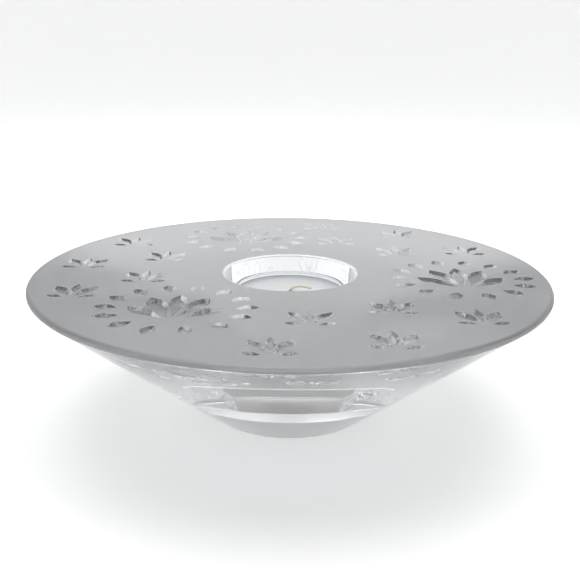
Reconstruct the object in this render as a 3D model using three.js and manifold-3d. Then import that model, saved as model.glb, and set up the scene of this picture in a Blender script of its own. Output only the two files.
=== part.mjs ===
// A votive candle holder in pressed glass: a wide disc with a satin top, cut with blossoms, on a
// clear cone with a flat base. A tealight in a clear cup stands in the well in the middle.
// Millimetres, +Z up, origin at the middle of the base.

import * as THREE from 'three';
import { mergeVertices } from 'three/addons/utils/BufferGeometryUtils.js';
import Module from 'manifold-3d';

// Glass body
const DISC_RADIUS = 89;
const HEIGHT = 52;
const RIM_ROUND = 1.3;
const BASE_CORNER = 26.7;
const BASE_ROUND = 5.2;
const MOUTH_RADIUS = 23.8;
const MOUTH_ROUND = 0.8;
const WELL_DEPTH = 21.5;
const WELL_DRAFT = 0.6;
const WELL_FILLET = 1.5;

// Blossoms, each with a ring of leaves, and groups of sprigs between them; angles are from +X
const BLOSSOM_PLACES = [
  { radius: 52.5, angle: 110 },
  { radius: 54.5, angle: 230.5 },
  { radius: 59, angle: 353 },
];
const BLOSSOM_BASE_DROP = 12;
const SPRIG_GROUPS = 3;
const SPRIG_START = 173;
const SPRIG_CIRCLES = [
  { radius: 74, offsets: [-27, 0, 27] },
  { radius: 50, offsets: [-16, 16] },
];
const SPRIG_BASE_DROP = 7;
const SPRIG_PETALS = [
  { turn: 74, length: 5.8, width: 2.6 },
  { turn: 29, length: 11.6, width: 4.4 },
  { turn: 0, length: 12.4, width: 2.9 },
  { turn: -29, length: 11.6, width: 4.4 },
  { turn: -74, length: 5.8, width: 2.6 },
];
const BLOSSOM_PETALS = [
  { turn: 48, length: 17.0, width: 6.0 },
  { turn: 22, length: 21.5, width: 6.2 },
  { turn: 0, length: 22.5, width: 5.8 },
  { turn: -22, length: 21.5, width: 6.2 },
  { turn: -48, length: 17.0, width: 6.0 },
];
const LEAF = { length: 7.8, width: 4.8 };
const LEAVES = 14;
const LEAF_OVAL = { x: 17.8, y: 16.2 };
const LEAF_AIM_DROP = 4;
const SPRIG_CLEARANCE = 2.2;
const BLOSSOM_CLEARANCE = 3;

// A cut's depth, and its swell: below 1 it is widest near its inner end, above 1 near its outer end
const SPRIG_CUT = { depth: 1.1, swell: 1.25 };
const LEAF_CUT = { depth: 1.1, swell: 1.15 };
const BLOSSOM_CUT = { depth: 1.6, swell: 1.6 };
const PETAL_STEPS = 6;
const PETAL_SIDES = 6;
const CUTTER_LIFT = 0.15;

// Tealight, measured from the underside of its cup
const CUP_BASE_RADIUS = 18.7;
const CUP_RIM_RADIUS = 19.4;
const CUP_HEIGHT = 16;
const CUP_WALL = 0.7;
const CUP_ROUND = 1.2;
const WAX_LEVEL = 14.2;
const WICK_RADIUS = 0.65;
const WICK_REACH = 7.5;
const WICK_FALL = 4.2;
const WICK_ARCH = 1.1;
const SUSTAINER_RADIUS = 6.5;
const SUSTAINER_THICKNESS = 0.4;
const NECK_RADIUS = 1.6;
const NECK_HEIGHT = 3.2;
const GAP = 0.3;

// Facets
const GLASS_SEGMENTS = 84;
const CUP_SEGMENTS = 48;
const SMALL_SEGMENTS = 24;
const ARC_STEPS = 3;
const WICK_STEPS = 24;
const WICK_ARC_STEPS = 4;
const MERGE_DISTANCE = 1e-4;

const wasm = await Module();
wasm.setup();

const radians = THREE.MathUtils.degToRad;

// A profile in (radius, height) turned about the Z axis
function revolve(points, segments) {
  return new THREE.LatheGeometry(points, segments).rotateX(Math.PI / 2);
}

// A closed geometry as a solid for cutting: shared vertices are merged, flat triangles dropped
function toSolid(geometry) {
  const bare = geometry.clone();
  bare.deleteAttribute('normal');
  bare.deleteAttribute('uv');
  const merged = mergeVertices(bare, MERGE_DISTANCE);
  const corners = merged.index.array;
  const triangles = [];
  for (let i = 0; i < corners.length; i += 3) {
    const [a, b, c] = corners.slice(i, i + 3);
    if (a !== b && b !== c && c !== a) triangles.push(a, b, c);
  }
  const mesh = new wasm.Mesh({
    numProp: 3,
    vertProperties: merged.attributes.position.array,
    triVerts: Uint32Array.from(triangles),
  });
  return new wasm.Manifold(mesh);
}

function toGeometry(solid) {
  const mesh = solid.getMesh();
  const geometry = new THREE.BufferGeometry();
  geometry.setAttribute('position', new THREE.BufferAttribute(mesh.vertProperties, mesh.numProp));
  geometry.setIndex(new THREE.BufferAttribute(mesh.triVerts, 1));
  geometry.computeVertexNormals();
  return geometry;
}

// Section of the glass: base, rounded corner, cone, rim, flat top, mouth, wall and floor of the well
function glassProfile() {
  const rimCentre = new THREE.Vector2(DISC_RADIUS - RIM_ROUND, HEIGHT - RIM_ROUND);
  const corner = new THREE.Vector2(BASE_CORNER, 0);
  const toRim = rimCentre.clone().sub(corner);
  const coneSlope = toRim.angle() - Math.asin(RIM_ROUND / toRim.length());
  const upTheCone = new THREE.Vector2(Math.cos(coneSlope), Math.sin(coneSlope));
  const roundEnd = corner.clone().addScaledVector(upTheCone, BASE_ROUND);
  const wellFloor = HEIGHT - WELL_DEPTH;
  const wallTop = MOUTH_RADIUS - MOUTH_ROUND;
  const wallFoot = wallTop - WELL_DRAFT;
  const path = new THREE.Path();
  path.moveTo(0, 0);
  path.lineTo(BASE_CORNER - BASE_ROUND, 0);
  path.quadraticCurveTo(corner.x, corner.y, roundEnd.x, roundEnd.y);
  path.absarc(rimCentre.x, rimCentre.y, RIM_ROUND, coneSlope - Math.PI / 2, Math.PI / 2, false);
  path.lineTo(MOUTH_RADIUS, HEIGHT);
  path.quadraticCurveTo(wallTop, HEIGHT, wallTop, HEIGHT - MOUTH_ROUND);
  path.lineTo(wallFoot, wellFloor + WELL_FILLET);
  path.quadraticCurveTo(wallFoot, wellFloor, wallFoot - WELL_FILLET, wellFloor);
  path.lineTo(0, wellFloor);
  return path.getPoints(ARC_STEPS);
}

// A petal's cut: a spindle along +Y, pointed at both ends, with bevelled sides and a flat floor
function petalCutter({ length, width }, { depth, swell }) {
  const outline = [];
  for (let i = 0; i <= PETAL_STEPS; i++) {
    const along = i / PETAL_STEPS;
    outline.push(new THREE.Vector2(Math.sin(Math.PI * along ** swell), along));
  }
  const spindle = new THREE.LatheGeometry(outline, PETAL_SIDES, Math.PI / PETAL_SIDES);
  return spindle.scale(width / 2, length, depth);
}

function placedCutter(petal, cut, x, y, turn) {
  return petalCutter(petal, cut).rotateZ(turn).translate(x, y, HEIGHT + CUTTER_LIFT);
}

// Petals that fan out from a base point, each starting a little way from it
function fan(petals, cut, clearance, base) {
  return petals.map((petal) => {
    const turn = radians(petal.turn);
    const x = base.x - clearance * Math.sin(turn);
    const y = base.y + clearance * Math.cos(turn);
    return placedCutter(petal, cut, x, y, turn);
  });
}

// Leaves on an oval round a blossom, pointing away from a spot between its middle and its base
function leafRing(centre) {
  const leaves = [];
  for (let i = 0; i < LEAVES; i++) {
    const angle = (2 * Math.PI * (i + 0.5)) / LEAVES;
    const x = -LEAF_OVAL.x * Math.sin(angle);
    const y = LEAF_OVAL.y * Math.cos(angle);
    const turn = Math.atan2(-x, y + LEAF_AIM_DROP);
    leaves.push(placedCutter(LEAF, LEAF_CUT, centre.x + x, centre.y + y, turn));
  }
  return leaves;
}

function onCircle(radius, degrees) {
  const angle = radians(degrees);
  return new THREE.Vector2(radius * Math.cos(angle), radius * Math.sin(angle));
}

function blossomCutters({ radius, angle }) {
  const centre = onCircle(radius, angle);
  const base = new THREE.Vector2(centre.x, centre.y - BLOSSOM_BASE_DROP);
  return [...fan(BLOSSOM_PETALS, BLOSSOM_CUT, BLOSSOM_CLEARANCE, base), ...leafRing(centre)];
}

function sprigCutters() {
  const cutters = [];
  for (let k = 0; k < SPRIG_GROUPS; k++) {
    const groupAngle = SPRIG_START + (360 * k) / SPRIG_GROUPS;
    for (const { radius, offsets } of SPRIG_CIRCLES) {
      for (const offset of offsets) {
        const base = onCircle(radius, groupAngle + offset);
        base.y -= SPRIG_BASE_DROP;
        cutters.push(...fan(SPRIG_PETALS, SPRIG_CUT, SPRIG_CLEARANCE, base));
      }
    }
  }
  return cutters;
}

function glassHolder() {
  let glass = toSolid(revolve(glassProfile(), GLASS_SEGMENTS));
  const cutters = [...BLOSSOM_PLACES.flatMap(blossomCutters), ...sprigCutters()];
  for (const cutter of cutters) glass = glass.subtract(toSolid(cutter));
  return toGeometry(glass);
}

// A thin cup that widens towards its rim
function tealightCup() {
  const innerBase = CUP_BASE_RADIUS - CUP_WALL;
  const innerRim = CUP_RIM_RADIUS - CUP_WALL;
  const path = new THREE.Path();
  path.moveTo(0, 0);
  path.lineTo(CUP_BASE_RADIUS - CUP_ROUND, 0);
  path.quadraticCurveTo(CUP_BASE_RADIUS, 0, CUP_BASE_RADIUS, CUP_ROUND);
  path.lineTo(CUP_RIM_RADIUS, CUP_HEIGHT - CUP_WALL / 2);
  path.quadraticCurveTo(CUP_RIM_RADIUS, CUP_HEIGHT, CUP_RIM_RADIUS - CUP_WALL / 2, CUP_HEIGHT);
  path.quadraticCurveTo(innerRim, CUP_HEIGHT, innerRim, CUP_HEIGHT - CUP_WALL / 2);
  path.lineTo(innerBase, CUP_WALL + CUP_ROUND);
  path.quadraticCurveTo(innerBase, CUP_WALL, innerBase - CUP_ROUND, CUP_WALL);
  path.lineTo(0, CUP_WALL);
  return revolve(path.getPoints(ARC_STEPS), CUP_SEGMENTS);
}

// The wax fills the cup, leaves room for the sustainer under it and a bore for the wick
function tealightWax() {
  const taper = (CUP_RIM_RADIUS - CUP_BASE_RADIUS) / CUP_HEIGHT;
  const low = CUP_WALL + GAP;
  const overPlate = low + SUSTAINER_THICKNESS + GAP;
  const overNeck = low + NECK_HEIGHT + GAP;
  const outerLow = CUP_BASE_RADIUS - CUP_WALL - GAP;
  const outerTop = outerLow + taper * (WAX_LEVEL - low);
  const path = new THREE.Path();
  path.moveTo(SUSTAINER_RADIUS + GAP, low);
  path.lineTo(outerLow - CUP_ROUND, low);
  path.quadraticCurveTo(outerLow, low, outerLow, low + CUP_ROUND);
  path.lineTo(outerTop, WAX_LEVEL);
  path.lineTo(WICK_RADIUS + GAP, WAX_LEVEL);
  path.lineTo(WICK_RADIUS + GAP, overNeck);
  path.lineTo(NECK_RADIUS + GAP, overNeck);
  path.lineTo(NECK_RADIUS + GAP, overPlate);
  path.lineTo(SUSTAINER_RADIUS + GAP, overPlate);
  path.closePath();
  return revolve(path.getPoints(ARC_STEPS), CUP_SEGMENTS);
}

// A flat metal disc with a neck that holds the wick upright
function wickSustainer() {
  const low = CUP_WALL + GAP;
  const bore = WICK_RADIUS + GAP;
  const path = new THREE.Path();
  path.moveTo(bore, low);
  path.lineTo(SUSTAINER_RADIUS, low);
  path.lineTo(SUSTAINER_RADIUS, low + SUSTAINER_THICKNESS);
  path.lineTo(NECK_RADIUS, low + SUSTAINER_THICKNESS);
  path.lineTo(NECK_RADIUS, low + NECK_HEIGHT);
  path.lineTo(bore, low + NECK_HEIGHT);
  path.closePath();
  return revolve(path.getPoints(), SMALL_SEGMENTS);
}

// The wick rises through the wax, arches over towards +X and comes down to it again
function wick() {
  const low = CUP_WALL + GAP;
  const lying = WAX_LEVEL + GAP + WICK_RADIUS;
  const foot = new THREE.Vector3(0, 0, low);
  const bendStart = new THREE.Vector3(0, 0, WAX_LEVEL - GAP);
  const archStart = new THREE.Vector3(0, 0, lying + WICK_ARCH);
  const archEnd = new THREE.Vector3(WICK_FALL, 0, lying + WICK_ARCH);
  const tip = new THREE.Vector3(WICK_REACH, 0, lying);
  const route = new THREE.CurvePath();
  route.add(new THREE.LineCurve3(foot, bendStart));
  route.add(new THREE.CubicBezierCurve3(bendStart, archStart, archEnd, tip));
  const section = new THREE.Shape().absarc(0, 0, WICK_RADIUS, 0, 2 * Math.PI, false);
  const along = { steps: WICK_STEPS, curveSegments: WICK_ARC_STEPS, extrudePath: route };
  return new THREE.ExtrudeGeometry(section, along);
}

function piece(name, geometry, color, roughness, metalness) {
  const material = new THREE.MeshStandardMaterial({ color, roughness, metalness });
  const mesh = new THREE.Mesh(geometry, material);
  mesh.name = name;
  return mesh;
}

const tealight = new THREE.Group();
tealight.position.z = HEIGHT - WELL_DEPTH + GAP;
tealight.add(piece('tealight_cup', tealightCup(), 0xe6ebee, 0.12, 0));
tealight.add(piece('tealight_wax', tealightWax(), 0xf1efe6, 0.5, 0));
tealight.add(piece('wick', wick(), 0xe9e2c8, 0.9, 0));
tealight.add(piece('wick_sustainer', wickSustainer(), 0xb9bbbd, 0.35, 1));

const holder = new THREE.Group();
holder.add(piece('glass_holder', glassHolder(), 0xc4c7ca, 0.4, 0));
holder.add(tealight);

export default holder;
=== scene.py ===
# Votive candle holder in pressed glass with a tealight: the finish of every piece, studio and camera.
import math

import bmesh
import bpy
from mathutils import Matrix, Vector
from mathutils.geometry import delaunay_2d_cdt


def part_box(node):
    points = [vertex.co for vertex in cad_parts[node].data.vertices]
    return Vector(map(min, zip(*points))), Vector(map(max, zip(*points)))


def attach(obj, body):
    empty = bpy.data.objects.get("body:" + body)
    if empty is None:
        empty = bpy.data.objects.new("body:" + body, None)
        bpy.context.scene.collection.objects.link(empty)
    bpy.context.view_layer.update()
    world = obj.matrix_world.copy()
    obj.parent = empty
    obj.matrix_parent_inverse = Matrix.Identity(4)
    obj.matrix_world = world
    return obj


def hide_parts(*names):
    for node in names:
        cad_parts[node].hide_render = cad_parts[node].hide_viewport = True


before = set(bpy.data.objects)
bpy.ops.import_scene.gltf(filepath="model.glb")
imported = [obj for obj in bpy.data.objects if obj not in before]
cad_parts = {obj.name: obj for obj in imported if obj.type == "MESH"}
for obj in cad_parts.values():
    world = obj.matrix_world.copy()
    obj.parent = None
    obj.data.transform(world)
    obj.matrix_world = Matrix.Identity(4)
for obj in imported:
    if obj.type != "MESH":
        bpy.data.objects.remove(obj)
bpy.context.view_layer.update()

# Sizes, in metres
MM = 0.001
GLASS_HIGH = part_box("glass_holder")[1]
CUP_LOW, CUP_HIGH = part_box("tealight_cup")
WAX_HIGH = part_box("tealight_wax")[1]
SUSTAINER_LOW, SUSTAINER_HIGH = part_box("wick_sustainer")

# Glass holder
DISC_RADIUS = GLASS_HIGH[0]
HEIGHT = GLASS_HIGH[2]
RIM_ROUND = 1.3 * MM
# Radius where the base and the cone would meet, and how far their rounding reaches along each
BASE_CORNER = 26.7 * MM
BASE_ROUND = 5.2 * MM
MOUTH_RADIUS = 23.8 * MM
MOUTH_ROUND = 0.8 * MM
WELL_DEPTH = 21.5 * MM
WELL_DRAFT = 0.6 * MM
WELL_FILLET = 1.5 * MM

# Blossoms, each with a ring of leaves, and groups of sprigs between them, as in the solid.
# A place is a radius and an angle in degrees.
BLOSSOM_PLACES = ((52.5 * MM, 110), (54.5 * MM, 230.5), (59 * MM, 353))
BLOSSOM_BASE_DROP = 12 * MM
SPRIG_GROUPS, SPRIG_START = 3, 173
SPRIG_CIRCLES = ((74 * MM, (-27, 0, 27)), (50 * MM, (-16, 16)))
SPRIG_BASE_DROP = 7 * MM
# Each petal: turn in degrees, length and width in millimetres
SPRIG_PETALS = ((74, 5.8, 2.6), (29, 11.6, 4.4), (0, 12.4, 2.9), (-29, 11.6, 4.4), (-74, 5.8, 2.6))
BLOSSOM_PETALS = ((48, 17.0, 6.0), (22, 21.5, 6.2), (0, 22.5, 5.8), (-22, 21.5, 6.2), (-48, 17.0, 6.0))
# Each leaf: length and width in millimetres
LEAF_SIZE = (7.8, 4.8)
LEAVES = 14
LEAF_OVAL = (17.8 * MM, 16.2 * MM)
# The leaves point away from a place this far below the middle of their blossom
LEAF_AIM_DROP = 4.0 * MM
SPRIG_CLEARANCE = 2.2 * MM
BLOSSOM_CLEARANCE = 3.0 * MM
SPRIG_CUT_DEPTH = 0.8 * MM
BLOSSOM_CUT_DEPTH = 1.2 * MM
# A petal is widest near its inner end below 1, near its outer end above 1
SPRIG_SWELL = 1.25
LEAF_SWELL = 1.15
BLOSSOM_SWELL = 1.6
BEVEL_WIDTH = 0.8 * MM
# Least width of the floor of a cut, as a share of the cut's own width there
LEAST_FLOOR = 0.08

# Tealight, heights measured from the underside of its cup
CUP_FOOT = CUP_LOW[2]
CUP_HEIGHT = CUP_HIGH[2] - CUP_LOW[2]
CUP_RIM_RADIUS = CUP_HIGH[0]
CUP_BASE_RADIUS = 18.7 * MM
CUP_WALL = 0.7 * MM
CUP_ROUND = 1.2 * MM
# Kick, the raised middle of the underside, and bead, the outer edge of the rim
KICK_RADIUS, KICK_RUN, KICK_HEIGHT = 13.5 * MM, 1.6 * MM, 0.25 * MM
BEAD_HEIGHT, BEAD_STEP = 0.9 * MM, 0.2 * MM
WAX_LEVEL = WAX_HIGH[2] - CUP_FOOT
WAX_CLEARANCE = 0.05 * MM
WAX_MENISCUS, MENISCUS_RUN = 0.45 * MM, 0.9 * MM
# Climb of the wax at the wick, as a share of its climb at the cup
WICK_CLIMB = 0.5
WAX_DISH = 0.3 * MM
WICK_BORE = 0.75 * MM
# Gap under the wick where it lies on the wax
GAP = 0.3 * MM
SUSTAINER_FOOT = SUSTAINER_LOW[2] - CUP_FOOT
SUSTAINER_RADIUS = SUSTAINER_HIGH[0]
SUSTAINER_TOP = SUSTAINER_HIGH[2] - CUP_FOOT
SUSTAINER_THICKNESS = 0.4 * MM
SUSTAINER_BORE = 0.95 * MM
NECK_RADIUS = 1.6 * MM
RIDGE_RADIUS, RIDGE_RUN, RIDGE_HEIGHT = 4.6 * MM, 0.5 * MM, 0.22 * MM
# Crimps of the neck: how many, and their depth as a share of its radius
CRIMPS, CRIMP_DEPTH = 4, 0.12
WICK_RADIUS = 0.65 * MM
# The wick's arch: how far out it ends, how far out it turns down, and how high its curve aims
WICK_REACH, WICK_FALL, WICK_ARCH = 7.5 * MM, 4.2 * MM, 1.1 * MM
WICK_LYING = WAX_LEVEL + GAP + WICK_RADIUS
STRANDS, STRAND_RADIUS = 3, 0.3 * MM
BRAID_SWAY, BRAID_DEPTH, BRAID_PITCH = 0.34 * MM, 0.2 * MM, 3.2 * MM
# A direction that no strand runs along
STRAND_ASIDE = Vector((0.3, 0.9, 0.3))

# Fineness of the meshes
GLASS_SEGMENTS = 320
TEALIGHT_SEGMENTS = 160
SWEEP_SEGMENTS = 160
ARC_STEPS = 10
RIM_STEPS = 20
# Steps of the rim's arc, down from the flat top, that share its satin finish and its painted-shade grey
SHOULDER_STEPS = 16
PETAL_STEPS = 22
WAX_STEPS = 30
WICK_STEPS = 40
STRAND_SIDES, STRAND_STEP = 10, 0.16 * MM
SHARP_ANGLE = math.radians(24)
STRAND_SHARP_ANGLE = math.radians(50)
MERGE_DISTANCE = 0.003 * MM
TINY = 1e-8
# Output type of the triangulation: all triangles that its lines enclose
INSIDE_LINES = 1

# Colours and finishes
GLASS_IOR = 1.52
CUP_IOR = 1.5
POLISHED_COLOUR = (0.86, 0.87, 0.885, 1.0)
# Painted shade: the bevels are the same clear glass, coloured a darker grey to darken the outlines of the
# cuts
CUT_SHADE_COLOUR = (0.37, 0.38, 0.395, 1.0)
# Painted shade: the ground floors of the cuts and the well are darkened grey, which dims what shows
# through them
FINE_SATIN_SHADE_COLOUR = (0.38, 0.39, 0.405, 1.0)
# Painted shade: the ground glass of the top and rim is a darker grey than frosted glass has under any
# lamp
SATIN_SHADE_COLOUR = (0.44, 0.445, 0.45, 1.0)
CUP_COLOUR = (0.97, 0.98, 1.0, 1.0)
WAX_COLOURS = ((0.78, 0.77, 0.735, 1.0), (0.85, 0.84, 0.81, 1.0))
WAX_SCATTER = (1.0, 0.9, 0.75)
WAX_SCATTER_SCALE = 20 * MM
COTTON_COLOURS = ((0.88, 0.84, 0.70, 1.0), (0.97, 0.94, 0.84, 1.0))
TIN_COLOURS = ((0.56, 0.57, 0.58, 1.0), (0.74, 0.75, 0.76, 1.0))
PAPER_COLOUR = (0.84, 0.835, 0.825, 1.0)
PAPER_GLOW_COLOUR = (1.0, 1.0, 1.0, 1.0)
PAPER_GLOW = 0.46
CARD_COLOUR = (0.12, 0.13, 0.15, 1.0)

# Camera, fitted to the photograph's outline
IMAGE_SIDE = 580
FOCAL_PIXELS = 855.8
SENSOR_WIDTH = 36.0
CAMERA_CLIP = 5 * MM
CAMERA_DISTANCE = 3.372 * DISC_RADIUS
CAMERA_ELEVATION = math.radians(15.82)
CAMERA_PITCH = math.radians(17.06)
CAMERA_ROLL = math.radians(0.58)

# Studio, in metres
SWEEP_RADIUS = 1.2
SWEEP_CURVE = 0.2
SWEEP_HEIGHT = 0.3
# The paper lies this far below the base
SWEEP_DROP = 0.2 * MM
CARD_WIDTH, CARD_HEIGHT, CARD_DISTANCE = 1.8, 1.1, 0.7
# Shades by height up an axis that leans to the back: 0 is level across it, 1 is straight up along it
STUDIO_TILT = math.radians(25)
STUDIO_DARK = (0.11, 0.12, 0.14, 1.0)
STUDIO_GREY = (0.33, 0.325, 0.315, 1.0)
STUDIO_LIGHT = (0.64, 0.66, 0.69, 1.0)
STUDIO_SHADES = ((0.30, STUDIO_DARK), (0.60, STUDIO_GREY), (0.785, STUDIO_GREY), (0.815, STUDIO_LIGHT))
SOFTBOX_COLOUR = (0.98, 0.99, 1.0)
SOFTBOX_TARGET = (0.0, 0.0, HEIGHT)
# Softboxes: place and size, power in watts
SOFTBOXES = (
    ((-0.33, 0.05, 1.0), (0.9, 0.4), 2.7),
    ((0.33, 0.05, 1.0), (0.9, 0.4), 2.7),
    ((0.0, 0.05, 1.05), (0.7, 0.7), 1.7),
    ((0.0, 1.3, 0.69), (1.3, 0.36), 1.15),
)

# Bounces of light, many for the thick glass
LIGHT_BOUNCES = 32
MIRROR_BOUNCES = 16


# Mesh helpers
def add_object(name, data):
    added = bpy.data.objects.new(name, data)
    bpy.context.scene.collection.objects.link(added)
    return added


def mesh_from(name, verts, faces):
    mesh = bpy.data.meshes.new(name)
    mesh.from_pydata(verts, [], faces)
    mesh.validate()
    return mesh


def joined(groups):
    return [item for group in groups for item in group]


def turn_profile(profile, segments):
    """Points round the axis, bands of faces and rings of point numbers; one point at radius 0."""
    verts, rings = [], []
    for radius, height in profile:
        first = len(verts)
        if radius < TINY:
            verts.append((0.0, 0.0, height))
            rings.append([first] * segments)
            continue
        for k in range(segments):
            angle = 2 * math.pi * k / segments
            verts.append((radius * math.cos(angle), radius * math.sin(angle), height))
        rings.append(list(range(first, first + segments)))
    bands = []
    for low, high in zip(rings[:-1], rings[1:]):
        band = []
        for k in range(segments):
            n = (k + 1) % segments
            face = list(dict.fromkeys((low[k], low[n], high[n], high[k])))
            if len(face) > 2:
                band.append(face)
        bands.append(band)
    return verts, bands, rings


def revolve(name, profile, segments):
    """A surface of revolution; profile points are (radius, height)."""
    verts, bands = turn_profile(profile, segments)[:2]
    return mesh_from(name, verts, joined(bands))


def bezier(*controls, steps=ARC_STEPS):
    """Points of a curve after its first control point, up to its last."""
    points = []
    for i in range(1, steps + 1):
        share = i / steps
        row = [Vector(point) for point in controls]
        while len(row) > 1:
            row = [a.lerp(b, share) for a, b in zip(row[:-1], row[1:])]
        points.append(tuple(row[0]))
    return points


def weld(mesh):
    """Joins the first and last ring of a profile that closes on itself."""
    bm = bmesh.new()
    bm.from_mesh(mesh)
    bmesh.ops.remove_doubles(bm, verts=bm.verts, dist=MERGE_DISTANCE)
    bmesh.ops.recalc_face_normals(bm, faces=bm.faces)
    bm.to_mesh(mesh)
    bm.free()


def smooth(mesh, angle=SHARP_ANGLE):
    mesh.shade_smooth()
    mesh.set_sharp_from_angle(angle=angle)


def flatten_last(mesh, count):
    """Shades the last faces of a mesh flat, with sharp edges."""
    flat_edges = set()
    for polygon in mesh.polygons[len(mesh.polygons) - count :]:
        polygon.use_smooth = False
        flat_edges.update(polygon.edge_keys)
    for edge in mesh.edges:
        if edge.key in flat_edges:
            edge.use_edge_sharp = True


# Glass holder
def glass_profile():
    """Profile of the glass, and how many of its points come before the edge of the mouth."""
    centre = Vector((DISC_RADIUS - RIM_ROUND, HEIGHT - RIM_ROUND))
    to_rim = centre - Vector((BASE_CORNER, 0.0))
    slope = math.atan2(to_rim.y, to_rim.x) - math.asin(RIM_ROUND / to_rim.length)
    well_floor = HEIGHT - WELL_DEPTH
    wall_top = MOUTH_RADIUS - MOUTH_ROUND
    wall_foot = wall_top - WELL_DRAFT
    round_start = (BASE_CORNER - BASE_ROUND, 0.0)
    round_end = (BASE_CORNER + BASE_ROUND * math.cos(slope), BASE_ROUND * math.sin(slope))
    points = [(0.0, 0.0), round_start]
    points += bezier(round_start, (BASE_CORNER, 0.0), round_end)
    first, last = slope - math.pi / 2, math.pi / 2
    for i in range(RIM_STEPS + 1):
        angle = first + (last - first) * i / RIM_STEPS
        points.append((centre.x + RIM_ROUND * math.cos(angle), centre.y + RIM_ROUND * math.sin(angle)))
    rim_count = len(points)
    points.append((MOUTH_RADIUS, HEIGHT))
    points += bezier((MOUTH_RADIUS, HEIGHT), (wall_top, HEIGHT), (wall_top, HEIGHT - MOUTH_ROUND))
    fillet_start = (wall_foot, well_floor + WELL_FILLET)
    points.append(fillet_start)
    points += bezier(fillet_start, (wall_foot, well_floor), (wall_foot - WELL_FILLET, well_floor))
    points.append((0.0, well_floor))
    return points, rim_count


def mirrored(points):
    return [(-x, y, z) for x, y, z in points]


def petal_cut(size, swell, depth, place):
    """One pointed cut along +Y: its points, faces of its bevels and floor, and its outline on the top."""
    length, width = size[0] * MM, size[1] * MM
    half_outline, half_floor = [], []
    for i in range(1, PETAL_STEPS):
        along = i / PETAL_STEPS
        half_width = 0.5 * width * math.sin(math.pi * along**swell)
        floor_half = max(half_width - BEVEL_WIDTH, LEAST_FLOOR * half_width)
        floor_depth = depth * (half_width - floor_half) / BEVEL_WIDTH
        half_outline.append((half_width, along * length, 0.0))
        half_floor.append((floor_half, along * length, -floor_depth))
    points = [(0.0, 0.0, 0.0)] + half_outline
    points += [(0.0, length, 0.0)] + mirrored(reversed(half_outline))
    points += half_floor + mirrored(half_floor)
    count = PETAL_STEPS - 1
    heel, tip = 0, count + 1
    right = list(range(1, count + 1))
    left = list(range(2 * count + 1, count + 1, -1))
    floor_right = list(range(2 * count + 2, 3 * count + 2))
    floor_left = list(range(3 * count + 2, 4 * count + 2))
    across = list(zip(right, floor_right, floor_left, left))
    bevels, floor = [], []
    for k, faces in enumerate((bevels, floor, bevels)):
        for near, far in zip(across[:-1], across[1:]):
            faces.append((near[k], far[k], far[k + 1], near[k + 1]))
        faces.append((heel, across[0][k], across[0][k + 1]))
        faces.append((tip, across[-1][k + 1], across[-1][k]))
    outline = list(range(2 * count + 2))
    return [place @ Vector(point) for point in points], bevels, floor, outline


def turned(x, y, angle):
    """A place on the flat top, turned about the vertical."""
    return Matrix.Translation((x, y, HEIGHT)) @ Matrix.Rotation(angle, 4, "Z")


def fan_cuts(petals, swell, depth, clearance, base):
    """Petals that fan from one base point and start a clearance away from it."""
    cuts = []
    for turn, length, width in petals:
        angle = math.radians(turn)
        x = base[0] - clearance * math.sin(angle)
        y = base[1] + clearance * math.cos(angle)
        cuts.append(petal_cut((length, width), swell, depth, turned(x, y, angle)))
    return cuts


def leaf_cuts(centre):
    """The oval ring of leaves round a blossom."""
    cuts = []
    for i in range(LEAVES):
        angle = 2 * math.pi * (i + 0.5) / LEAVES
        x, y = -LEAF_OVAL[0] * math.sin(angle), LEAF_OVAL[1] * math.cos(angle)
        place = turned(centre[0] + x, centre[1] + y, math.atan2(-x, y + LEAF_AIM_DROP))
        cuts.append(petal_cut(LEAF_SIZE, LEAF_SWELL, SPRIG_CUT_DEPTH, place))
    return cuts


def on_circle(radius, degrees):
    angle = math.radians(degrees)
    return radius * math.cos(angle), radius * math.sin(angle)


def blossom_cuts(radius, degrees):
    centre = on_circle(radius, degrees)
    base = (centre[0], centre[1] - BLOSSOM_BASE_DROP)
    petals = fan_cuts(BLOSSOM_PETALS, BLOSSOM_SWELL, BLOSSOM_CUT_DEPTH, BLOSSOM_CLEARANCE, base)
    return petals + leaf_cuts(centre)


def sprig_cuts(radius, degrees):
    x, y = on_circle(radius, degrees)
    base = (x, y - SPRIG_BASE_DROP)
    return fan_cuts(SPRIG_PETALS, SPRIG_SWELL, SPRIG_CUT_DEPTH, SPRIG_CLEARANCE, base)


def ornament_cuts():
    cuts = []
    for radius, degrees in BLOSSOM_PLACES:
        cuts += blossom_cuts(radius, degrees)
    for k in range(SPRIG_GROUPS):
        for radius, offsets in SPRIG_CIRCLES:
            for offset in offsets:
                cuts += sprig_cuts(radius, SPRIG_START + 360 * k / SPRIG_GROUPS + offset)
    return cuts


def encloses(loop, point):
    """Whether a closed loop of plane points goes round a point."""
    inside = False
    for a, b in zip(loop, loop[1:] + loop[:1]):
        if (a.y > point.y) != (b.y > point.y):
            if point.x < a.x + (b.x - a.x) * (point.y - a.y) / (b.y - a.y):
                inside = not inside
    return inside


def fill_between(verts, loops):
    """Triangles of the flat top inside the first loop and outside the others."""
    order = joined(loops)
    points = [Vector(verts[i][:2]) for i in order]
    owner, outlines, lines = [], [], []
    for number, loop in enumerate(loops):
        first = len(owner)
        owner += [number] * len(loop)
        outlines.append(points[first : first + len(loop)])
        lines += [(first + i, first + (i + 1) % len(loop)) for i in range(len(loop))]
    triangles, origins = delaunay_2d_cdt(points, lines, [], INSIDE_LINES, TINY)[2:4]
    faces = []
    for triangle in triangles:
        corners = [origins[i][0] for i in triangle]
        middle = sum((points[i] for i in corners), Vector((0.0, 0.0))) / len(corners)
        number = owner[corners[0]]
        one_loop = number > 0 and all(owner[i] == number for i in corners)
        if one_loop and encloses(outlines[number], middle):
            continue
        faces.append([order[i] for i in corners])
    return faces


def shifted(faces, first):
    return [[first + i for i in face] for face in faces]


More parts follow.
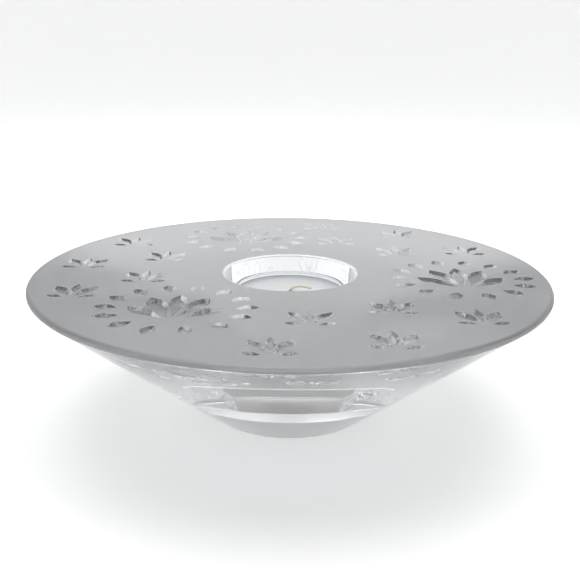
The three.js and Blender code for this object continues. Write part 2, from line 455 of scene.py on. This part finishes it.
def make_glass_holder(polished, cut, fine_satin, satin):
    """One piece with four finishes: clear sides, and cut bevels, finely ground floors and a satin top in
    painted-shade greys.
    """
    profile, rim_count = glass_profile()
    verts, bands, rings = turn_profile(profile, GLASS_SEGMENTS)
    rim_end = rim_count - 1
    shoulder = rim_end - SHOULDER_STEPS
    clear = joined(bands[:shoulder] + bands[rim_count:-1])
    bevelled = []
    fine = list(bands[-1])
    ground = joined(bands[shoulder:rim_end])
    loops = [rings[rim_end], rings[rim_count]]
    for points, bevels, floor, outline in ornament_cuts():
        first = len(verts)
        verts += points
        bevelled += shifted(bevels, first)
        fine += shifted(floor, first)
        loops.append([first + i for i in outline])
    top = fill_between(verts, loops)
    groups = (clear, bevelled, fine, ground + top)
    mesh = mesh_from("holder_glass", verts, joined(groups))
    smooth(mesh)
    flatten_last(mesh, len(top))
    finishes = []
    for number, (material, faces) in enumerate(zip((polished, cut, fine_satin, satin), groups)):
        mesh.materials.append(material)
        finishes += [number] * len(faces)
    mesh.polygons.foreach_set("material_index", finishes)
    piece = add_object("holder_glass", mesh)
    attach(piece, "holder")
    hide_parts("glass_holder")


# Tealight
def add_tealight_piece(name, mesh, material, node):
    """A piece that rides with the tealight in place of one of its solids."""
    piece = add_object(name, mesh)
    mesh.materials.append(material)
    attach(piece, "tealight")
    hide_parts(node)


def lifted(profile):
    """A profile measured from the underside of the cup, at its place in the frame."""
    return [(radius, CUP_FOOT + height) for radius, height in profile]


def inner_radius(height):
    """Radius of the inside of the cup."""
    return CUP_BASE_RADIUS - CUP_WALL + (CUP_RIM_RADIUS - CUP_BASE_RADIUS) * height / CUP_HEIGHT


def make_cup(material):
    kick_start = (KICK_RADIUS - KICK_RUN, KICK_HEIGHT)
    kick_middle = (KICK_RADIUS - KICK_RUN / 2, KICK_HEIGHT / 2)
    corner_start = (CUP_BASE_RADIUS - CUP_ROUND, 0.0)
    bead_low = (CUP_RIM_RADIUS - BEAD_STEP, CUP_HEIGHT - BEAD_HEIGHT)
    bead_out = (CUP_RIM_RADIUS, CUP_HEIGHT - BEAD_HEIGHT / 2)
    rim = (CUP_RIM_RADIUS - CUP_WALL / 2, CUP_HEIGHT)
    inside_rim = (inner_radius(CUP_HEIGHT), CUP_HEIGHT - BEAD_HEIGHT / 2)
    floor_corner = (CUP_BASE_RADIUS - CUP_WALL, CUP_WALL)
    fillet_start = (inner_radius(CUP_ROUND + CUP_WALL), CUP_ROUND + CUP_WALL)
    floor_edge = (floor_corner[0] - CUP_ROUND, CUP_WALL)
    profile = [(0.0, KICK_HEIGHT), kick_start]
    profile += bezier(kick_start, (kick_middle[0], KICK_HEIGHT), kick_middle)
    profile += bezier(kick_middle, (kick_middle[0], 0.0), (KICK_RADIUS, 0.0))
    profile.append(corner_start)
    profile += bezier(corner_start, (CUP_BASE_RADIUS, 0.0), (CUP_BASE_RADIUS, CUP_ROUND))
    profile.append(bead_low)
    profile += bezier(bead_low, (CUP_RIM_RADIUS, bead_low[1]), bead_out)
    profile += bezier(bead_out, (CUP_RIM_RADIUS, CUP_HEIGHT), rim)
    profile += bezier(rim, (inside_rim[0], CUP_HEIGHT), inside_rim)
    profile.append(fillet_start)
    profile += bezier(fillet_start, floor_corner, floor_edge)
    profile.append((0.0, CUP_WALL))
    mesh = revolve("tealight_cup_shell", lifted(profile), TEALIGHT_SEGMENTS)
    smooth(mesh)
    add_tealight_piece("tealight_cup_shell", mesh, material, "tealight_cup")


def wax_edge():
    """Radius of the wax at its level."""
    return inner_radius(WAX_LEVEL) - WAX_CLEARANCE


def wax_height(radius):
    """The wax climbs a little at the cup and the wick, and is dished between them."""
    share = radius / wax_edge()
    dish = WAX_DISH * 4 * share * (1 - share)
    at_cup = math.exp((radius - wax_edge()) / MENISCUS_RUN)
    at_wick = WICK_CLIMB * math.exp((WICK_BORE - radius) / MENISCUS_RUN)
    return WAX_LEVEL - dish + WAX_MENISCUS * (at_cup + at_wick)


def make_wax(material):
    low = CUP_WALL + WAX_CLEARANCE
    over_plate = SUSTAINER_FOOT + SUSTAINER_THICKNESS + RIDGE_HEIGHT + WAX_CLEARANCE
    over_neck = SUSTAINER_TOP + WAX_CLEARANCE
    plate_side = SUSTAINER_RADIUS + WAX_CLEARANCE
    neck_side = NECK_RADIUS + WAX_CLEARANCE
    outer_low = inner_radius(CUP_ROUND + CUP_WALL) - WAX_CLEARANCE
    corner = (outer_low - CUP_ROUND, low)
    profile = [(plate_side, low), corner]
    profile += bezier(corner, (outer_low, low), (outer_low, low + CUP_ROUND))
    for i in range(WAX_STEPS + 1):
        radius = wax_edge() + (WICK_BORE - wax_edge()) * i / WAX_STEPS
        profile.append((radius, wax_height(radius)))
    profile += [(WICK_BORE, over_neck), (neck_side, over_neck), (neck_side, over_plate)]
    profile += [(plate_side, over_plate), (plate_side, low)]
    mesh = revolve("tealight_wax_fill", lifted(profile), TEALIGHT_SEGMENTS)
    weld(mesh)
    smooth(mesh)
    add_tealight_piece("tealight_wax_fill", mesh, material, "tealight_wax")


def make_sustainer(material):
    foot, top = SUSTAINER_FOOT, SUSTAINER_FOOT + SUSTAINER_THICKNESS
    ridge_in = (RIDGE_RADIUS - RIDGE_RUN, top)
    ridge_out = (RIDGE_RADIUS + RIDGE_RUN, top)
    # A curve rises half as high as its middle control point
    ridge_aim = (RIDGE_RADIUS, top + 2 * RIDGE_HEIGHT)
    edge_low, edge_high = (SUSTAINER_RADIUS, foot), (SUSTAINER_RADIUS, top)
    flare = (NECK_RADIUS, top + SUSTAINER_THICKNESS)
    profile = [(SUSTAINER_BORE, foot), edge_low, edge_high, ridge_out]
    profile += bezier(ridge_out, ridge_aim, ridge_in)
    profile.append((NECK_RADIUS + SUSTAINER_THICKNESS, top))
    profile += bezier(profile[-1], (NECK_RADIUS, top), flare)
    profile += [(NECK_RADIUS, SUSTAINER_TOP), (SUSTAINER_BORE, SUSTAINER_TOP), (SUSTAINER_BORE, foot)]
    mesh = revolve("wick_sustainer_tin", lifted(profile), TEALIGHT_SEGMENTS)
    weld(mesh)
    for vert in mesh.vertices:
        rise = (vert.co.z - CUP_FOOT - flare[1]) / (SUSTAINER_TOP - flare[1])
        if rise > 0:
            angle = math.atan2(vert.co.y, vert.co.x)
            pinch = 1 - CRIMP_DEPTH * rise * max(0.0, math.cos(CRIMPS * angle)) ** 2
            vert.co.x *= pinch
            vert.co.y *= pinch
    smooth(mesh)
    add_tealight_piece("wick_sustainer_tin", mesh, material, "wick_sustainer")


def wick_route():
    """Middle line of the wick in the XZ plane: up through the wax, and over in an arch to lie on it."""
    foot, bend = (0.0, SUSTAINER_FOOT), (0.0, WAX_LEVEL - GAP)
    arch = (0.0, WICK_LYING + WICK_ARCH), (WICK_FALL, WICK_LYING + WICK_ARCH), (WICK_REACH, WICK_LYING)
    corners = [foot, bend] + bezier(bend, *arch, steps=WICK_STEPS)
    points = []
    for a, b in zip(corners[:-1], corners[1:]):
        span = math.dist(a, b)
        steps = max(1, round(span / STRAND_STEP))
        for i in range(steps):
            share = i / steps
            points.append((a[0] + (b[0] - a[0]) * share, a[1] + (b[1] - a[1]) * share))
    points.append(corners[-1])
    return [Vector((x, 0.0, CUP_FOOT + z)) for x, z in points]


def neighbours(line, i):
    """The points before and after one point of a line, or that point itself at an end."""
    return line[max(i - 1, 0)], line[min(i + 1, len(line) - 1)]


def strand_line(route, phase):
    """One strand of a flat three-strand braid that follows the route."""
    line, travelled = [], 0.0
    across = Vector((0.0, 1.0, 0.0))
    for i, point in enumerate(route):
        before, after = neighbours(route, i)
        out = (after - before).normalized().cross(across)
        travelled += (point - before).length
        angle = 2 * math.pi * travelled / BRAID_PITCH + phase
        sway = across * BRAID_SWAY * math.sin(angle)
        line.append(point + sway + out * BRAID_DEPTH * math.sin(2 * angle))
    return line


def add_strand(bm, line):
    rings = []
    for i, point in enumerate(line):
        before, after = neighbours(line, i)
        along = (after - before).normalized()
        side = along.cross(STRAND_ASIDE).normalized()
        other = along.cross(side)
        ring = []
        for k in range(STRAND_SIDES):
            angle = 2 * math.pi * k / STRAND_SIDES
            outward = side * math.cos(angle) + other * math.sin(angle)
            ring.append(bm.verts.new(point + STRAND_RADIUS * outward))
        rings.append(ring)
    for a, b in zip(rings[:-1], rings[1:]):
        for k in range(STRAND_SIDES):
            n = (k + 1) % STRAND_SIDES
            bm.faces.new((a[k], a[n], b[n], b[k]))
    bm.faces.new(tuple(reversed(rings[0])))
    bm.faces.new(tuple(rings[-1]))


def make_wick(material):
    bm = bmesh.new()
    route = wick_route()
    for k in range(STRANDS):
        add_strand(bm, strand_line(route, 2 * math.pi * k / STRANDS))
    bmesh.ops.recalc_face_normals(bm, faces=bm.faces)
    mesh = bpy.data.meshes.new("wick_braid")
    bm.to_mesh(mesh)
    bm.free()
    smooth(mesh, STRAND_SHARP_ANGLE)
    add_tealight_piece("wick_braid", mesh, material, "wick")


# Materials
def new_material(name):
    material = bpy.data.materials.new(name)
    material.use_nodes = True
    tree = material.node_tree
    return material, tree, tree.nodes["Principled BSDF"]


def glassy(name, colour, ior, transmission=1.0):
    """A material that lets light through."""
    material, tree, shader = new_material(name)
    shader.inputs["Base Color"].default_value = colour
    shader.inputs["Transmission Weight"].default_value = transmission
    shader.inputs["IOR"].default_value = ior
    return material, tree, shader


def object_noise(tree, scale, detail):
    """Grey values of a noise that is fixed to its piece."""
    place = tree.nodes.new("ShaderNodeTexCoord")
    noise = tree.nodes.new("ShaderNodeTexNoise")
    noise.inputs["Scale"].default_value = scale
    noise.inputs["Detail"].default_value = detail
    tree.links.new(place.outputs["Object"], noise.inputs["Vector"])
    return noise.outputs["Fac"]


def ranged(tree, source, low, high):
    """A value from 0 to 1, brought between low and high."""
    span = tree.nodes.new("ShaderNodeMapRange")
    span.inputs["To Min"].default_value = low
    span.inputs["To Max"].default_value = high
    tree.links.new(source, span.inputs["Value"])
    return span.outputs["Result"]


def vary_roughness(tree, shader, source, low, high):
    tree.links.new(ranged(tree, source, low, high), shader.inputs["Roughness"])


def vary_colour(tree, shader, source, colours):
    ramp = tree.nodes.new("ShaderNodeValToRGB")
    for stop, colour in zip(ramp.color_ramp.elements, colours):
        stop.color = colour
    tree.links.new(source, ramp.inputs["Fac"])
    tree.links.new(ramp.outputs["Color"], shader.inputs["Base Color"])


def add_relief(tree, shader, source, strength, height):
    relief = tree.nodes.new("ShaderNodeBump")
    relief.inputs["Strength"].default_value = strength
    relief.inputs["Distance"].default_value = height
    tree.links.new(source, relief.inputs["Height"])
    tree.links.new(relief.outputs["Normal"], shader.inputs["Normal"])


def satin_shaded_glass():
    """Ground glass of the flat top and the upper part of the rim; its frosted scatter is real, its grey
    is painted shade.
    """
    material, tree, shader = glassy("satin_shaded_glass", SATIN_SHADE_COLOUR, GLASS_IOR, transmission=0.58)
    mottle = object_noise(tree, scale=260.0, detail=3.0)
    vary_roughness(tree, shader, mottle, low=0.36, high=0.46)
    grain = object_noise(tree, scale=5200.0, detail=2.0)
    add_relief(tree, shader, grain, strength=0.12, height=0.04 * MM)
    return material


def fine_satin_shaded_glass():
    """Finely ground glass of the floors of the cuts and of the well, in a grey that is painted shade."""
    material, tree, shader = glassy("fine_satin_shaded_glass", FINE_SATIN_SHADE_COLOUR, GLASS_IOR, transmission=0.9)
    mottle = object_noise(tree, scale=420.0, detail=3.0)
    vary_roughness(tree, shader, mottle, low=0.14, high=0.24)
    ripple = object_noise(tree, scale=300.0, detail=2.0)
    add_relief(tree, shader, ripple, strength=0.2, height=0.4 * MM)
    return material


def polished_glass(name, colour):
    """Clear glass of the cone, base and well wall, or, in a darker painted-shade grey, of the bevels of
    the cuts.
    """
    material, tree, shader = glassy(name, colour, GLASS_IOR)
    haze = object_noise(tree, scale=90.0, detail=3.0)
    vary_roughness(tree, shader, haze, low=0.0, high=0.03)
    ripple = object_noise(tree, scale=60.0, detail=1.0)
    add_relief(tree, shader, ripple, strength=0.05, height=0.4 * MM)
    return material


def clear_plastic():
    material, tree, shader = glassy("clear_cup", CUP_COLOUR, CUP_IOR)
    haze = object_noise(tree, scale=220.0, detail=3.0)
    vary_roughness(tree, shader, haze, low=0.02, high=0.09)
    return material


def wax_material():
    material, tree, shader = new_material("paraffin_wax")
    shader.inputs["Roughness"].default_value = 0.42
    shader.inputs["Subsurface Weight"].default_value = 1.0
    shader.inputs["Subsurface Radius"].default_value = WAX_SCATTER
    shader.inputs["Subsurface Scale"].default_value = WAX_SCATTER_SCALE
    cloud = object_noise(tree, scale=130.0, detail=4.0)
    vary_colour(tree, shader, cloud, WAX_COLOURS)
    add_relief(tree, shader, cloud, strength=0.15, height=0.3 * MM)
    return material


def cotton_material():
    material, tree, shader = new_material("waxed_cotton")
    shader.inputs["Roughness"].default_value = 0.75
    fibre = object_noise(tree, scale=2600.0, detail=4.0)
    vary_colour(tree, shader, fibre, COTTON_COLOURS)
    add_relief(tree, shader, fibre, strength=0.4, height=0.1 * MM)
    return material


def tin_material():
    material, tree, shader = new_material("tinned_sheet")
    shader.inputs["Metallic"].default_value = 1.0
    spangle = object_noise(tree, scale=700.0, detail=2.0)
    vary_colour(tree, shader, spangle, TIN_COLOURS)
    vary_roughness(tree, shader, spangle, low=0.25, high=0.42)
    return material


# Studio
def matt_material(name, colour):
    material, tree, shader = new_material(name)
    shader.inputs["Base Color"].default_value = colour
    shader.inputs["Roughness"].default_value = 1.0
    return material, tree, shader


def white_paper():
    """White paper that is seen at nearly full white, also in the glass, and still takes a shadow."""
    material, tree, shader = matt_material("white_paper", PAPER_COLOUR)
    shader.inputs["Specular IOR Level"].default_value = 0.0
    path = tree.nodes.new("ShaderNodeLightPath")
    seen = path.outputs["Is Camera Ray"]
    for kind in ("Is Glossy Ray", "Is Transmission Ray"):
        either = tree.nodes.new("ShaderNodeMath")
        either.operation = "MAXIMUM"
        tree.links.new(seen, either.inputs[0])
        tree.links.new(path.outputs[kind], either.inputs[1])
        seen = either.outputs[0]
    shader.inputs["Emission Color"].default_value = PAPER_GLOW_COLOUR
    tree.links.new(ranged(tree, seen, 0.0, PAPER_GLOW), shader.inputs["Emission Strength"])
    return material


def add_sweep():
    """A round sheet of white paper that curves up into a low wall all round."""
    profile = [(0.0, -SWEEP_DROP), (SWEEP_RADIUS - SWEEP_CURVE, -SWEEP_DROP)]
    profile += bezier(profile[-1], (SWEEP_RADIUS, -SWEEP_DROP), (SWEEP_RADIUS, SWEEP_CURVE))
    profile.append((SWEEP_RADIUS, SWEEP_HEIGHT))
    sweep = add_object("paper_sweep", revolve("paper_sweep", profile, SWEEP_SEGMENTS))
    sweep.data.materials.append(white_paper())
    sweep.data.shade_smooth()


def add_world():
    """A plain grey studio: dark behind the camera, grey at the back and light overhead."""
    world = bpy.data.worlds.new("studio")
    world.use_nodes = True
    nodes, links = world.node_tree.nodes, world.node_tree.links
    place = nodes.new("ShaderNodeTexCoord")
    height = nodes.new("ShaderNodeVectorMath")
    height.operation = "DOT_PRODUCT"
    height.inputs[1].default_value = (0.0, math.sin(STUDIO_TILT), math.cos(STUDIO_TILT))
    ramp = nodes.new("ShaderNodeValToRGB")
    stops = ramp.color_ramp.elements
    while len(stops) < len(STUDIO_SHADES):
        stops.new(1.0)
    for stop, (position, colour) in zip(stops, STUDIO_SHADES):
        stop.position = position
        stop.color = colour
    links.new(place.outputs["Generated"], height.inputs[0])
    links.new(height.outputs["Value"], ramp.inputs["Fac"])
    links.new(ramp.outputs["Color"], nodes["Background"].inputs["Color"])
    bpy.context.scene.world = world


def add_softbox(place, size, power):
    lamp = bpy.data.lights.new("softbox", "AREA")
    lamp.shape = "RECTANGLE"
    lamp.size, lamp.size_y = size
    lamp.energy = power
    lamp.color = SOFTBOX_COLOUR
    softbox = add_object("softbox", lamp)
    softbox.location = place
    aim = Vector(SOFTBOX_TARGET) - Vector(place)
    softbox.rotation_euler = aim.to_track_quat("-Z", "Y").to_euler()


def add_card():
    """A grey card behind the camera, seen only in mirror images and through glass, without a shadow."""
    side = CARD_WIDTH / 2
    verts = [(-side, -CARD_DISTANCE, 0.0), (side, -CARD_DISTANCE, 0.0)]
    verts += [(side, -CARD_DISTANCE, CARD_HEIGHT), (-side, -CARD_DISTANCE, CARD_HEIGHT)]
    card = add_object("grey_card", mesh_from("grey_card", verts, [(3, 2, 1, 0)]))
    card.data.materials.append(matt_material("card_grey", CARD_COLOUR)[0])
    card.visible_camera = False
    card.visible_diffuse = False
    card.visible_shadow = False


def add_camera():
    camera = add_object("camera", bpy.data.cameras.new("camera"))
    camera.data.sensor_width = SENSOR_WIDTH
    camera.data.lens = SENSOR_WIDTH * FOCAL_PIXELS / IMAGE_SIDE
    camera.data.clip_start = CAMERA_CLIP
    back = CAMERA_DISTANCE * math.cos(CAMERA_ELEVATION)
    up = CAMERA_DISTANCE * math.sin(CAMERA_ELEVATION)
    tilt = Matrix.Rotation(math.pi / 2 - CAMERA_PITCH, 4, "X")
    roll = Matrix.Rotation(CAMERA_ROLL, 4, "Z")
    camera.matrix_world = Matrix.Translation((0.0, -back, HEIGHT + up)) @ tilt @ roll
    bpy.context.scene.camera = camera


polished = polished_glass("polished_glass", POLISHED_COLOUR)
# A darker grey copy of the clear glass, as painted shade on the bevels of the cuts
cut = polished_glass("shaded_cut_glass", CUT_SHADE_COLOUR)
make_glass_holder(polished, cut, fine_satin_shaded_glass(), satin_shaded_glass())
make_cup(clear_plastic())
make_wax(wax_material())
make_wick(cotton_material())
make_sustainer(tin_material())
add_sweep()
add_world()
for place, size, power in SOFTBOXES:
    add_softbox(place, size, power)
add_card()
add_camera()

scene = bpy.context.scene
scene.view_settings.view_transform = "Standard"
scene.cycles.max_bounces = LIGHT_BOUNCES
scene.cycles.transmission_bounces = LIGHT_BOUNCES
scene.cycles.glossy_bounces = MIRROR_BOUNCES
